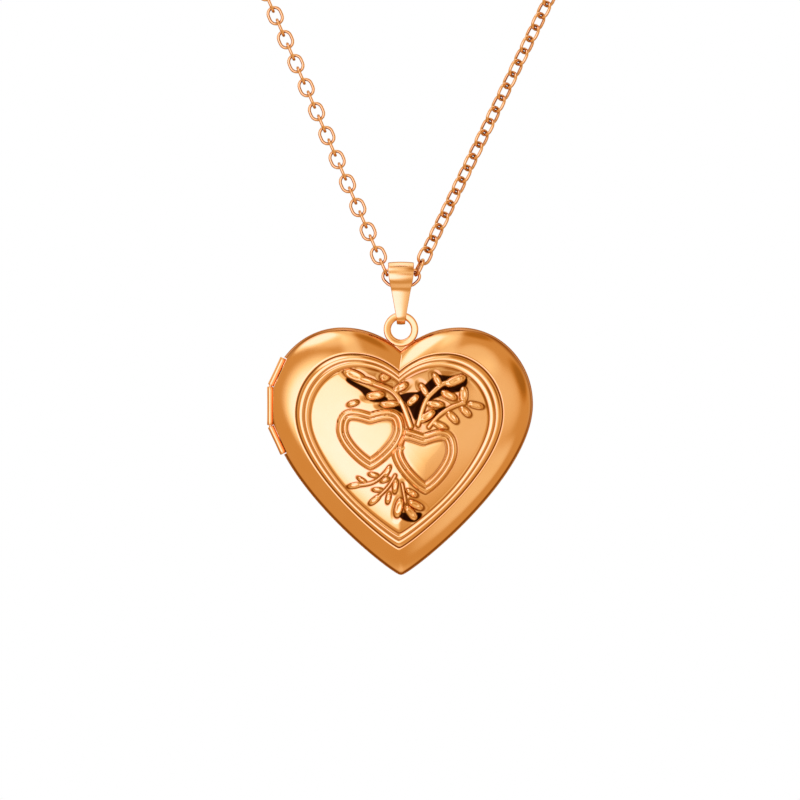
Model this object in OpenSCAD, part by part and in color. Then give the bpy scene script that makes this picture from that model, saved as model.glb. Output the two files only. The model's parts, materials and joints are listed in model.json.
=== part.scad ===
// Heart locket on a cable chain, hanging as it is worn.
// Millimetres, +Z up, front of the locket towards -Y.
// Origin: midway between the two points where the chain passes over the sides of the neck.

/* [Locket] */
// Width of the closed locket across its lobes
locket_width = 28.88; // [26:0.5:32]
// Height of the raised dome on each half
dome_rise = 2.75; // [2.2:0.05:3.2]
// Height of the straight rim on each half
rim_height = 0.45; // [0.42:0.01:0.6]
// Thickness of the pressed sheet
sheet = 0.4; // [0.3:0.05:0.5]
// Size of the cover against the back half
cover_size = 0.99; // [0.98:0.002:1]

/* [Hinge] */
// Outer diameter of the hinge knuckles
knuckle_d = 0.7; // [0.6:0.05:0.8]
// Diameter of the bent hinge pin
pin_d = 0.34; // [0.3:0.02:0.36]
// Angle by which the outer knuckles follow the curve of the edge
knuckle_lean = 25; // [20:1:30]

/* [Hanging loop and bail] */
// Hole in the loop at the top of the back half
loop_hole_d = 2.2; // [2:0.1:2.4]
// Wire diameter of the loop
loop_wire_d = 0.8; // [0.7:0.05:0.85]
// Width of the bail at its rolled top
bail_width = 2.84; // [2.4:0.1:3]
// Outer radius of the rolled top of the bail
bail_roll_r = 1.6; // [1.56:0.01:1.64]
// Thickness of the bail's strip
bail_sheet = 0.4; // [0.35:0.01:0.42]

/* [Chain] */
// Wire diameter of a link
wire_d = 0.34; // [0.3:0.02:0.36]
// Outside width of a link
link_width = 1.75; // [1.7:0.05:1.9]
// Length that each link adds to the chain
pitch = 1.44; // [1.4:0.02:1.5]
// Slack between two links that hang in each other
link_slack = 0.06; // [0.06:0.01:0.08]
// Lean of the left strand from upright
left_lean = 23.3; // [20:0.1:27]
// Lean of the right strand from upright
right_lean = 25.8; // [20:0.1:28]
// Drop from the sides of the neck to the lowest link
drop = 115; // [80:5:140]
// Depth of the loop from front to nape
neck_depth = 52; // [45:1:60]
// Rise of the nape above the sides of the neck
nape_rise = 30; // [20:1:40]

/* [Clasp] */
// Radius of the bolt ring to the middle of its tube
clasp_r = 2.3; // [2.1:0.1:2.6]
// Outer diameter of the bolt ring's tube
clasp_tube_d = 1.1; // [1:0.05:1.2]

/* [Hidden] */

gold = "#e7a864";
pale_gold = "#f2c48c";
clear = [0.9, 0.95, 1, 0.5];
$fn = 48;

// ---- Curves ----
function between(a, b, t) = a + (b - a) * t;
function cubic(p, t) =
    pow(1 - t, 3) * p[0] + 3 * t * pow(1 - t, 2) * p[1]
    + 3 * t * t * (1 - t) * p[2] + pow(t, 3) * p[3];

// ---- Heart outline ----
half_width = locket_width / 2;
unit = half_width / 14.44;
lobe_top = [6.45, 8.38] * unit;
cleft = [0, 5.9] * unit;
side = [half_width, 0];
tip = [0, -18.7] * unit;
right_half = [
    [[cleft, [1.5, 7.2] * unit, [3.6, 8.38] * unit, lobe_top], 5],
    [[lobe_top, [10.86, 8.38] * unit, [half_width, 4.63 * unit], side], 9],
    [[side, [half_width, -8.3 * unit], [0.4, -19.1] * unit, tip], 14]
];
right_points = [for (s = right_half) for (i = [0 : s[1] - 1]) cubic(s[0], i / s[1])];
left_points = [for (i = [len(right_points) - 1 : -1 : 1]) [-right_points[i].x, right_points[i].y]];
outline = concat(right_points, [tip], left_points);
outline_count = len(outline);
// Every inner line of the locket is the outline shrunk towards this point
heart_middle = [0, -4.9 * unit];
function shrunk(s) = [for (p = outline) heart_middle + (p - heart_middle) * s];

// ---- Heights, upwards from the widest row of the heart ----
// Half the gap between the closed halves
parting = 0.015;
loop_z = 8.15;
loop_r = (loop_hole_d + loop_wire_d) / 2;
loop_bar_z = loop_z + loop_r;
low_link_z = 13.35;
bail_top_z = 15.52;
bail_roll_z = bail_top_z - bail_roll_r;
bail_bend_r = 0.55;
hinge_x = -14.3 * unit;
hinge_top_z = 1.95;
hinge_bottom_z = -2.35;
hinge_middle_z = (hinge_top_z + hinge_bottom_z) / 2;
knuckle_len = 3.3;
knuckle_gap = 0.1;
middle_len = hinge_top_z - hinge_bottom_z - knuckle_gap;

// ---- Chain route ----
// Distance of a straight strand from the middle of the pendant at a height
function strand_x(lean, z) = 1.02 + (z - 12.9) * tan(lean);
mean_slope = (tan(left_lean) + tan(right_lean)) / 2;
// The links at the low link's sharp bends sit deeper in each other, to keep clear
low_tuck = 0.08;
side_tuck = 0.06;
low_half = pitch / 2 - low_tuck;
// Height at which a link that hangs in the low link's end meets the straight strands
start_gap = strand_x(0, 0) - low_half + (low_link_z - 12.9) * mean_slope;
start_a = 1 + pow(mean_slope, 2);
start_b = 2 * start_gap * mean_slope;
start_c = pow(start_gap, 2) - pow(pitch - side_tuck, 2);
start_z = low_link_z + (-start_b + sqrt(pow(start_b, 2) - 4 * start_a * start_c)) / (2 * start_a);
neck_z = drop + low_link_z;
pendant_x = (strand_x(left_lean, neck_z) - strand_x(right_lean, neck_z)) / 2;
heart_z = -neck_z;
pendant_place = [pendant_x, 0, heart_z];

left_start = pendant_place + [-strand_x(left_lean, start_z), 0, start_z];
right_start = pendant_place + [strand_x(right_lean, start_z), 0, start_z];
left_neck = pendant_place + [-strand_x(left_lean, neck_z), 0, neck_z];
right_neck = pendant_place + [strand_x(right_lean, neck_z), 0, neck_z];
low_middle = pendant_place + [0, 0, low_link_z];
low_left = low_middle - [low_half, 0, 0];
low_right = low_middle + [low_half, 0, 0];

nape = [0, neck_depth, nape_rise];
clasp_half_span = 4.79;
function back_curve(start, lean, turn) = [
    start,
    start + 26 * [turn * sin(lean), 0, cos(lean)],
    nape + [turn * 38, -3, 0],
    nape + [turn * clasp_half_span, 0, 0]
];

// Points a pitch apart along a straight run and along a curve. Each run has an odd number of
// links, so that the quarter turns go on where two runs meet.
function odd_count(length) = 2 * ceil((length / pitch - 1) / 2) + 1;
slices = 160;
function lengths(p) = [
    for (i = 0, s = 0; i <= slices;
         s = s + norm(cubic(p, (i + 1) / slices) - cubic(p, i / slices)), i = i + 1)
        [s, i / slices]
];
function curve_stops(p) =
    let (table = lengths(p), total = table[slices][0], n = odd_count(total))
    [for (k = [0 : n]) cubic(p, lookup(k * total / n, table))];
function straight_stops(a, b) =
    let (n = odd_count(norm(b - a)))
    [for (k = [0 : n]) between(a, b, k / n)];

// One oval link, lying flat with its length along X
link_bend_r = (link_width - wire_d) / 2;
link_straight = pitch + wire_d + link_slack - 2 * link_bend_r;
module link() {
    for (turn = [0, 180])
        rotate([0, 0, turn]) {
            translate([link_straight / 2, 0, 0])
                rotate([0, 0, -90])
                    rotate_extrude(angle = 180, $fn = 24)
                        translate([link_bend_r, 0])
                            circle(d = wire_d);
            translate([-link_straight / 2, link_bend_r, 0])
                rotate([0, 90, 0])
                    cylinder(d = wire_d, h = link_straight, $fn = 24);
        }
}

module place_link(a, b, roll) {
    d = (b - a) / norm(b - a);
    translate((a + b) / 2)
        rotate([0, -asin(d.z), atan2(d.y, d.x)])
            rotate([roll, 0, 0])
                link();
}

// A run of links, each turned a quarter from the last; extra_turn builds up over the first turn_links
module run(stops, first_roll, extra_turn = 0, turn_links = 1) {
    for (k = [0 : len(stops) - 2])
        place_link(stops[k], stops[k + 1],
                   first_roll + 90 * k + extra_turn * min(1, (k + 1) / turn_links));
}

// ---- Locket shells ----
function dome(s) = pow(max(0, 1 - pow(s, 2.2)), 0.65);
// Raised heart border on the cover: place between the middle (0) and the edge (1), and height
border = [
    [0, 0], [0.68, 0], [0.69, -0.08], [0.715, 0.08], [0.735, -0.04],
    [0.76, 0.08], [0.785, -0.1], [0.8, 0], [1, 0]
];
border_steps = [0.995, 0.97, 0.93, 0.87, 0.8, 0.785, 0.76, 0.735, 0.715, 0.69, 0.68, 0.5, 0.25];
plain_steps = [0.995, 0.97, 0.93, 0.87, 0.78, 0.65, 0.45, 0.25];
inner_steps = [0.25, 0.5, 0.7, 0.84, 0.93, 0.98];
inner_size = 0.972;
inner_wall = rim_height - 0.2;
inner_rise = dome_rise - sheet + 0.2;

function ring(s, y) = [for (p = shrunk(s)) [p.x, y, p.y]];

// A hollow domed heart with its open rim at y = 0, bulging towards -Y
module dished_heart(steps, relief) {
    rings = concat(
        [for (s = inner_steps) ring(s * inner_size, -inner_wall - inner_rise * dome(s))],
        [ring(inner_size, -inner_wall), ring(inner_size, 0), ring(1, 0), ring(1, -rim_height)],
        [for (s = steps)
            ring(s, -rim_height - dome_rise * dome(s) - relief * lookup(s, border))]
    );
    n = outline_count;
    last = len(rings) - 1;
    inner_pole = len(rings) * n;
    outer_pole = inner_pole + 1;
    points = concat(
        [for (r = rings) each r],
        [[heart_middle.x, -inner_wall - inner_rise, heart_middle.y]],
        [[heart_middle.x, -rim_height - dome_rise, heart_middle.y]]
    );
    bands = [for (r = [0 : last - 1]) for (i = [0 : n - 1]) each
        let (a = r * n + i, b = r * n + (i + 1) % n)
            [[a, b, a + n], [b, b + n, a + n]]];
    inner_cap = [for (i = [0 : n - 1]) [inner_pole, (i + 1) % n, i]];
    outer_cap = [for (i = [0 : n - 1]) [outer_pole, last * n + i, last * n + (i + 1) % n]];
    polyhedron(points, concat(inner_cap, bands, outer_cap));
}

// A flat heart-shaped band between two sizes and two depths
module heart_band(outer_size, inner_size, y_from, y_to) {
    translate([0, y_to, 0])
        rotate([90, 0, 0])
            linear_extrude(y_to - y_from)
                difference() {
                    polygon(shrunk(outer_size));
                    if (inner_size > 0)
                        polygon(shrunk(inner_size));
                }
}

module at_top_knuckle() {
    translate([hinge_x, 0, hinge_top_z])
        rotate([0, knuckle_lean, 0])
            translate([0, 0, knuckle_len / 2 + knuckle_gap])
                children();
}

module at_bottom_knuckle() {
    translate([hinge_x, 0, hinge_bottom_z])
        rotate([0, -knuckle_lean, 0])
            translate([0, 0, -knuckle_len / 2 - knuckle_gap])
                children();
}

module at_middle_knuckle() {
    translate([hinge_x, 0, hinge_middle_z])
        children();
}

// What the shells give up to a knuckle: everything from its inner side outwards
module knuckle_space(gap, length) {
    reach = knuckle_d / 2 + gap;
    translate([reach - 4, -4, -length / 2])
        cube([4, 8, length]);
}

module hinge_spaces(outer_gap, middle_gap) {
    at_top_knuckle() knuckle_space(outer_gap, knuckle_len + 2 * knuckle_gap);
    at_bottom_knuckle() knuckle_space(outer_gap, knuckle_len + 2 * knuckle_gap);
    at_middle_knuckle() knuckle_space(middle_gap, middle_len + 2.6 * knuckle_gap);
}

module pendant() {
    translate(pendant_place)
        children();
}

// The solder line between a knuckle and its own half, and the gap to the other half
solder_gap = 0.01;
free_gap = 0.06;

module cover_shell() color(gold) pendant()
    difference() {
        translate([0, -parting, 0])
            translate([0, 0, heart_middle.y * (1 - cover_size)])
                scale(cover_size)
                    dished_heart(border_steps, 1);
        hinge_spaces(free_gap, solder_gap);
        translate([0, 0.1, loop_z])
            rotate([90, 0, 0])
                cylinder(r = loop_r + loop_wire_d / 2 + free_gap, h = loop_wire_d / 2 + 0.16);
    }

loop_tail = [1.4, 0.33, 1.6];
module loop_tail_shape(gap) {
    translate([-loop_tail.x / 2 - gap, parting - gap, loop_z - loop_r - loop_tail.z])
        cube(loop_tail + [2 * gap, 2 * gap, 0]);
}

module back_shell() color(gold) pendant()
    difference() {
        translate([0, parting, 0])
            mirror([0, 1, 0])
                dished_heart(plain_steps, 0);
        hinge_spaces(solder_gap, free_gap);
        loop_tail_shape(solder_gap);
        translate([0, loop_wire_d / 2 + 0.02, loop_z])
            rotate([90, 0, 0])
                cylinder(r = loop_r + loop_wire_d / 2 + solder_gap, h = loop_wire_d);
    }

module hanging_loop() color(gold) pendant()
    union() {
        translate([0, 0, loop_z])
            rotate([90, 0, 0])
                rotate_extrude()
                    translate([loop_r, 0])
                        circle(d = loop_wire_d);
        loop_tail_shape(0);
    }

// Snap lip inside the back half: a wide foot on the back's wall and a narrow lip into the cover
lip_reach = 0.35;
lip_foot = 0.23;
module catch_lip() color(pale_gold) pendant()
    intersection() {
        union() {
            heart_band(0.971, 0.942, parting + 0.005, lip_foot);
            heart_band(0.957, 0.942, -lip_reach, parting + 0.01);
        }
        difference() {
            translate([-5, -1, -20])
                cube([20, 2, 40]);
            translate([-5.1, -1.1, 4])
                cube([7.2, 2.2, 5]);
        }
    }

frame_y = [0.37, 0.52];
window_y = [0.53, 0.63];
frame_sizes = [0.94, 0.86];
window_size = 0.925;

module photo_frame_cover() color(pale_gold) pendant()
    heart_band(frame_sizes[0], frame_sizes[1], -frame_y[1], -frame_y[0]);

module photo_frame_back() color(pale_gold) pendant()
    heart_band(frame_sizes[0], frame_sizes[1], frame_y[0], frame_y[1]);

module photo_window_cover() color(clear) pendant()
    heart_band(window_size, 0, -window_y[1], -window_y[0]);

module photo_window_back() color(clear) pendant()
    heart_band(window_size, 0, window_y[0], window_y[1]);

// ---- Hinge ----
running_fit = 0.03;
module knuckle(length) {
    difference() {
        cylinder(d = knuckle_d, h = length, center = true);
        cylinder(d = pin_d + 2 * running_fit, h = length + 1, center = true);
    }
}

module hinge_knuckle_middle() color(gold) pendant() at_middle_knuckle() knuckle(middle_len);
module hinge_knuckle_top() color(gold) pendant() at_top_knuckle() knuckle(knuckle_len);
module hinge_knuckle_bottom() color(gold) pendant() at_bottom_knuckle() knuckle(knuckle_len);

// One pin, bent twice so that its ends lie in the leaning outer knuckles
pin_bend_r = 0.4;
pin_bend_reach = pin_bend_r * tan(knuckle_lean / 2);
module pin_end() {
    translate([pin_bend_r, 0, 0])
        rotate([90, 0, 0])
            rotate([0, 0, 180 - knuckle_lean])
                rotate_extrude(angle = knuckle_lean)
                    translate([pin_bend_r, 0])
                        circle(d = pin_d);
    translate([pin_bend_r, 0, 0])
        rotate([0, knuckle_lean, 0])
            translate([-pin_bend_r, 0, 0])
                cylinder(d = pin_d, h = knuckle_len + knuckle_gap - pin_bend_reach);
}

module hinge_pin() color(pale_gold) pendant()
    translate([hinge_x, 0, 0]) {
        translate([0, 0, hinge_top_z - pin_bend_reach])
            pin_end();
        translate([0, 0, hinge_bottom_z + pin_bend_reach])
            mirror([0, 0, 1])
                pin_end();
        translate([0, 0, hinge_bottom_z + pin_bend_reach])
            cylinder(d = pin_d, h = hinge_top_z - hinge_bottom_z - 2 * pin_bend_reach);
    }

// ---- Bail: a strip rolled round the chain and tapering to the bend in the loop ----
function arc(middle, r, from, to, steps) =
    [for (i = [0 : steps]) let (a = from + (to - from) * i / steps) middle + r * [cos(a), sin(a)]];

// The roll runs into upright legs through two hollow corners, and the legs into the bend
bail_leg_y = bail_bend_r + bail_sheet;
bail_corner_r = 0.3;
bail_corner_y = bail_leg_y + bail_corner_r;
bail_corner_drop = sqrt(pow(bail_roll_r + bail_corner_r, 2) - pow(bail_corner_y, 2));
bail_corner_angle = atan(bail_corner_drop / bail_corner_y);

// Side outline of the strip's outer side, or of its inner side at an inset
function bail_side(inset) =
    let (corner_z = bail_roll_z - bail_corner_drop, corner_r = bail_corner_r + inset)
    concat(
        arc([0, bail_roll_z], bail_roll_r - inset, -bail_corner_angle, 180 + bail_corner_angle, 48),
        arc([-bail_corner_y, corner_z], corner_r, bail_corner_angle, 0, 10),
        arc([0, loop_bar_z], bail_leg_y - inset, 180, 360, 24),
        arc([bail_corner_y, corner_z], corner_r, 180, 180 - bail_corner_angle, 10)
    );

bail_front = [
    [1, 15.7], [1, 13.6], [0.79, 12.7], [0.62, 11.3], [0.34, 9.2], [0.31, 8.5]
];
module bail() color(pale_gold) pendant()
    intersection() {
        rotate([90, 0, 90])
            linear_extrude(bail_width + 1, center = true)
                difference() {
                    polygon(bail_side(0));
                    polygon(bail_side(bail_sheet));
                }
        rotate([90, 0, 0])
            linear_extrude(4, center = true)
                polygon(concat(
                    [for (p = bail_front) [p.x * bail_width / 2, p.y]],
                    [for (i = [len(bail_front) - 1 : -1 : 0])
                        [-bail_front[i].x * bail_width / 2, bail_front[i].y]]
                ));
    }

// ---- Chain ----
module chain_links_in_bail() color(gold) {
    translate(low_middle)
        link();
    place_link(low_left, left_start, 90);
    place_link(low_right, right_start, 90);
}

module chain_front_left() color(gold)
    run(straight_stops(left_start, left_neck), 0);

module chain_front_right() color(gold)
    run(straight_stops(right_start, right_neck), 0, 45, 3);

// The last link at the nape lies flat on the neck, so the quarter turns are counted from its end
module chain_back(start, lean, turn) {
    stops = curve_stops(back_curve(start, lean, turn));
    n = len(stops) - 1;
    front_turn = turn > 0 ? 45 : 0;
    for (k = [0 : n - 1])
        place_link(stops[k], stops[k + 1],
                   90 + 90 * (n - 1 - k) + front_turn * (n - 1 - k) / n);
}

module chain_back_left() color(gold) chain_back(left_neck, left_lean, -1);
module chain_back_right() color(gold) chain_back(right_neck, right_lean, 1);

// ---- Bolt ring clasp at the nape, its plane flat on the neck ----
clasp_x = 0.91;
clasp_bore_d = 0.72;
bolt_d = 0.6;
mouth = [25, 70];
bolt_span = [18, 125];
stud_angle = 105;
slot = [99, 162];
spring_span = [178, 238];
bore_span = [70, 240];
socket_span = [12, 25];

module at_clasp() {
    translate(nape + [clasp_x, 0, 0])
        rotate([90, 0, 0])
            children();
}

// A bar of round section bent round the middle of the clasp from one angle to another
module bent_bar(d, span) {
    rotate([0, 0, span[0]])
        rotate_extrude(angle = span[1] - span[0])
            translate([clasp_r, 0])
                circle(d = d);
}

module clasp_tube() color(gold) at_clasp()
    difference() {
        bent_bar(clasp_tube_d, [mouth[1], 360 + mouth[0]]);
        bent_bar(clasp_bore_d, [bore_span[0] - 1, bore_span[1]]);
        bent_bar(clasp_bore_d, [socket_span[0], socket_span[1] + 1]);
        rotate([0, 0, slot[0]])
            rotate_extrude(angle = slot[1] - slot[0])
                translate([clasp_r, -0.27])
                    square([1, 0.54]);
    }

module clasp_bolt() color(pale_gold) at_clasp() bent_bar(bolt_d, bolt_span);

module clasp_thumb_stud() color(pale_gold) at_clasp()
    rotate([0, 0, stud_angle])
        translate([clasp_r + bolt_d / 2 + 0.005, 0, 0])
            rotate([0, 90, 0]) {
                cylinder(d = 0.4, h = 0.75);
            }

// Coil that pushes the bolt shut, drawn as the space it fills when the bolt is drawn back
spring_turns = 9;
spring_wire_d = 0.09;
spring_coil_r = 0.24;
module clasp_spring() color(pale_gold) at_clasp()
    for (k = [0 : spring_turns - 1])
        rotate([0, 0, spring_span[0] + (spring_span[1] - spring_span[0]) * k / (spring_turns - 1)])
            translate([clasp_r, 0, 0])
                rotate([90, 0, 0])
                    rotate_extrude($fn = 24)
                        translate([spring_coil_r, 0])
                            circle(d = spring_wire_d);

eye_r = 0.75;
eye_wire_d = 0.5;
jump_r = 0.9;
jump_wire_d = 0.4;
end_ring_r = 1.35;
end_ring_wire_d = 0.5;
ring_slack = 0.05;
eye_x = -(clasp_r + clasp_tube_d / 2 + eye_r + eye_wire_d / 2 + 0.02);
jump_x = eye_x - eye_r + (eye_wire_d + jump_wire_d) / 2 + ring_slack - jump_r;
end_ring_x = clasp_r - (clasp_tube_d + end_ring_wire_d) / 2 - ring_slack + end_ring_r;

module wire_ring(r, d) {
    rotate_extrude()
        translate([r, 0])
            circle(d = d);
}

module clasp_eye() color(gold) at_clasp()
    translate([eye_x, 0, 0])
        wire_ring(eye_r, eye_wire_d);

module clasp_jump_ring() color(gold) at_clasp()
    translate([jump_x, 0, 0])
        rotate([90, 0, 0])
            wire_ring(jump_r, jump_wire_d);

module chain_end_ring() color(gold) at_clasp()
    translate([end_ring_x, 0, 0])
        rotate([90, 0, 0])
            wire_ring(end_ring_r, end_ring_wire_d);

cover_shell();
back_shell();
catch_lip();
hinge_knuckle_middle();
hinge_knuckle_top();
hinge_knuckle_bottom();
hinge_pin();
photo_frame_cover();
photo_frame_back();
photo_window_cover();
photo_window_back();
hanging_loop();
bail();
chain_links_in_bail();
chain_front_left();
chain_front_right();
chain_back_left();
chain_back_right();
clasp_jump_ring();
clasp_eye();
clasp_tube();
clasp_bolt();
clasp_thumb_stud();
clasp_spring();
chain_end_ring();
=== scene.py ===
"""Looks of the heart locket on its cable chain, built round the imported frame.

Lengths are written in millimetres and turned to metres when a mesh is made. Points of the
locket are measured from the middle of the heart's widest row, +Z up, front towards -Y.
"""
import functools
import json
import math

import bmesh
import bpy
import numpy as np
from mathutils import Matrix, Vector


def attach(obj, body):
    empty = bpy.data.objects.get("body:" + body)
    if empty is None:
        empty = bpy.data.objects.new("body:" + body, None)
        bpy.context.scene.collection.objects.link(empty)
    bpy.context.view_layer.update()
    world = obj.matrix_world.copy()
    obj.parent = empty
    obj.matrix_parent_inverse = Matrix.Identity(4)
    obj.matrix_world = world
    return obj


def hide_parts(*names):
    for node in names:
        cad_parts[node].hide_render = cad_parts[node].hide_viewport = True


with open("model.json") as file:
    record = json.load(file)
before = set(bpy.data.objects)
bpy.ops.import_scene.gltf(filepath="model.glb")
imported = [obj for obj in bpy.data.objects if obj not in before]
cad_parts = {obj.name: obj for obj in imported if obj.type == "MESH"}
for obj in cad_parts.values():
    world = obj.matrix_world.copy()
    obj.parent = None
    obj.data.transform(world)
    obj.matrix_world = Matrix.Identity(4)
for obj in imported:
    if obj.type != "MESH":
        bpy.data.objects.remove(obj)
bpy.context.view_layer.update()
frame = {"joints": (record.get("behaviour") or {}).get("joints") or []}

MM = 0.001
JOINT_PLACES = {joint["name"]: joint["pos_m"] for joint in frame["joints"]}

# ---- Dimensions repeated from the CAD source, in millimetres and degrees ----
LOOP_Z = 8.15
LOOP_R = 1.5
LOOP_WIRE = 0.8
RIM_HEIGHT = 0.45
DOME_RISE = 2.75
COVER_SIZE = 0.99
PARTING = 0.015
SHEET = 0.4
INNER_SIZE = 0.972
HEART_MIDDLE = np.array([0.0, -4.9])
HINGE_X, HINGE_TOP_Z, HINGE_BOTTOM_Z = -14.3, 1.95, -2.35
KNUCKLE_D, KNUCKLE_LEN, KNUCKLE_GAP, KNUCKLE_LEAN = 0.7, 3.3, 0.1, 25.0
MIDDLE_LEN = HINGE_TOP_Z - HINGE_BOTTOM_Z - KNUCKLE_GAP
PIN_D, PIN_BEND_R, PIN_BORE = 0.34, 0.4, 0.4
BAIL_ROLL_Z, BAIL_ROLL_R, BAIL_SHEET, BAIL_BEND_R, BAIL_CORNER_R = 13.92, 1.6, 0.4, 0.55, 1.2
LOOP_BAR_Z = LOOP_Z + LOOP_R
BAIL_HALF = [(1.41, 15.7), (1.40, 14.3), (1.27, 13.4), (1.09, 12.6), (0.87, 11.4), (0.483, 9.2),
             (0.44, 8.5)]
WIRE_D, LINK_WIDTH, PITCH, SLACK = 0.34, 1.75, 1.44, 0.06
LEFT_LEAN, RIGHT_LEAN = 23.3, 25.8
LOW_LINK_Z, LOW_TUCK, SIDE_TUCK = 13.35, 0.08, 0.06
NECK_Z = 128.35
NAPE = np.array([0.0, 52.0, 30.0])
CLASP_HALF_SPAN = 4.79
CLASP_X, CLASP_R, CLASP_TUBE_D, CLASP_BORE_D, BOLT_D = 0.91, 2.3, 1.1, 0.72, 0.6
MOUTH, BOLT_SPAN, STUD_ANGLE, SLOT = (25, 70), (18, 125), 105, (99, 162)
BORE_SPAN, SOCKET_SPAN, SPRING_SPAN = (70, 240), (12, 25), (178, 238)
EYE_R, EYE_WIRE, JUMP_R, JUMP_WIRE, END_R, END_WIRE = 0.75, 0.5, 0.9, 0.4, 1.35, 0.5
RING_SLACK = 0.05

# The heart row's middle lies straight below the centre of the hanging loop
PENDANT = np.array(JOINT_PLACES["locket_sway"]) / MM - [0, 0, LOOP_Z]


# ---- Camera ----
def add_camera():
    """Level long lens in front of the locket, so that the heart sits as in the picture."""
    distance, view_width, sensor = 600.0, 87.5, 36.0
    target = PENDANT + np.array([-0.11, 0, 0.44])
    data = bpy.data.cameras.new("camera")
    data.sensor_width = sensor
    data.lens = sensor * distance / view_width
    data.clip_start = 0.01
    data.clip_end = 20.0
    camera = bpy.data.objects.new("camera", data)
    camera.location = Vector((target - np.array([0, distance, 0])) * MM)
    camera.rotation_euler = (math.radians(90), 0, 0)
    bpy.context.scene.collection.objects.link(camera)
    bpy.context.scene.camera = camera


add_camera()


# ---- Curves and small geometry helpers ----
def cubic(p, t):
    t = np.asarray(t, float)[..., None]
    return ((1 - t) ** 3 * p[0] + 3 * t * (1 - t) ** 2 * p[1]
            + 3 * t * t * (1 - t) * p[2] + t ** 3 * p[3])


def smoothstep(a, b, x):
    t = np.clip((np.asarray(x, float) - a) / (b - a), 0, 1)
    return t * t * (3 - 2 * t)


def rot(axis, degrees):
    c, s = math.cos(math.radians(degrees)), math.sin(math.radians(degrees))
    if axis == "x":
        return np.array([[1, 0, 0], [0, c, -s], [0, s, c]])
    if axis == "y":
        return np.array([[c, 0, s], [0, 1, 0], [-s, 0, c]])
    return np.array([[c, -s, 0], [s, c, 0], [0, 0, 1]])


def resample(points, count, closed=True):
    """Points at equal distances along a polyline."""
    loop = np.vstack([points, points[:1]]) if closed else points
    steps = np.r_[0, np.cumsum(np.linalg.norm(np.diff(loop, axis=0), axis=1))]
    at = np.linspace(0, steps[-1], count + 1)[:-1] if closed else np.linspace(0, steps[-1], count)
    return np.c_[tuple(np.interp(at, steps, loop[:, k]) for k in range(loop.shape[1]))]


def heart_outline(right_half, count):
    """A closed heart, clockwise from the cleft, with an even count of points."""
    fine = np.vstack([cubic(np.array(seg, float), np.linspace(0, 1, 400)[:-1])
                      for seg in right_half] + [np.array([right_half[-1][3]], float)])
    right = resample(fine, count // 2 + 1, closed=False)
    left = right[-2:0:-1] * np.array([-1, 1])
    return np.vstack([right, left])


LOCKET_HALF = [
    [(0, 5.9), (1.5, 7.2), (3.6, 8.38), (6.45, 8.38)],
    [(6.45, 8.38), (10.86, 8.38), (14.44, 4.63), (14.44, 0)],
    [(14.44, 0), (14.44, -8.3), (0.4, -19.1), (0, -18.7)],
]


def dome(s):
    return np.maximum(0, 1 - np.asarray(s, float) ** 2.2) ** 0.65


class Builder:
    """Gathers vertices and faces of one piece, in millimetres."""

    def __init__(self):
        self.points, self.faces, self.count = [], [], 0

    def add(self, points):
        points = np.asarray(points, float)
        start = self.count
        self.points.append(points)
        self.count += len(points)
        return np.arange(start, self.count)

    def band(self, a, b):
        """Quads between two closed rings of the same count."""
        self.faces += zip(a, np.roll(a, -1), np.roll(b, -1), b)

    def stitch(self, a, b):
        """Triangles between two closed rings of different counts that start at the same place."""
        n, m, i, j = len(a), len(b), 0, 0
        while i < n or j < m:
            if j >= m or (i < n and (i + 1) / n <= (j + 1) / m):
                self.faces.append((a[i % n], a[(i + 1) % n], b[j % m]))
                i += 1
            else:
                self.faces.append((a[i % n], b[(j + 1) % m], b[j % m]))
                j += 1

    def skin(self, rings, closed=False):
        """Faces between rings that follow each other; closed also joins the last to the first."""
        for a, b in zip(rings, rings[1:] + (rings[:1] if closed else [])):
            if len(a) == len(b):
                self.band(a, b)
            else:
                self.stitch(a, b)

    def cap(self, ring, point, flip=False):
        """Closes a ring with a fan of triangles to one point."""
        pole = self.add([point])[0]
        for i, j in zip(ring, np.roll(ring, -1)):
            self.faces.append((j, i, pole) if flip else (i, j, pole))

    def all_points(self):
        return np.vstack(self.points)


def mesh_from(name, points_mm, faces):
    """A mesh of closed bodies whose faces all look outwards."""
    mesh = bpy.data.meshes.new(name)
    mesh.from_pydata((np.asarray(points_mm) * MM).tolist(), [], faces)
    mesh.validate()
    work = bmesh.new()
    work.from_mesh(mesh)
    bmesh.ops.recalc_face_normals(work, faces=work.faces)
    work.to_mesh(mesh)
    work.free()
    return mesh


def add_object(name, mesh):
    obj = bpy.data.objects.new(name, mesh)
    bpy.context.scene.collection.objects.link(obj)
    return obj


def shade(mesh, sharp):
    mesh.shade_smooth()
    mesh.set_sharp_from_angle(angle=math.radians(sharp))


def make_piece(name, shape, material, body, node, sharp=50):
    """A finished piece from (points_mm, faces) that rides on a body and stands for a CAD node."""
    obj = add_object(name, mesh_from(name, *shape))
    shade(obj.data, sharp)
    obj.data.materials.append(material)
    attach(obj, body)
    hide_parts(node)
    return obj


def set_painted_shade(obj, values):
    """Painted shade: how dark each point is painted, read by the metals."""
    attribute = obj.data.attributes.new("painted_shade", "FLOAT", "POINT")
    attribute.data.foreach_set("value", np.asarray(values, np.float32))


def cut(obj, cutters, sharp=50):
    """Takes closed cutter bodies, given as (points_mm, faces), out of a piece."""
    helpers = [add_object("cutter", mesh_from("cutter", *shape)) for shape in cutters]
    for k, helper in enumerate(helpers):
        step = obj.modifiers.new(f"cut_{k}", "BOOLEAN")
        step.operation = "DIFFERENCE"
        step.solver = "EXACT"
        step.object = helper
    bpy.context.view_layer.update()
    done = bpy.data.meshes.new_from_object(
        obj.evaluated_get(bpy.context.evaluated_depsgraph_get()))
    obj.modifiers.clear()
    obj.data = done
    for helper in helpers:
        bpy.data.objects.remove(helper)
    shade(done, sharp)


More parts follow.
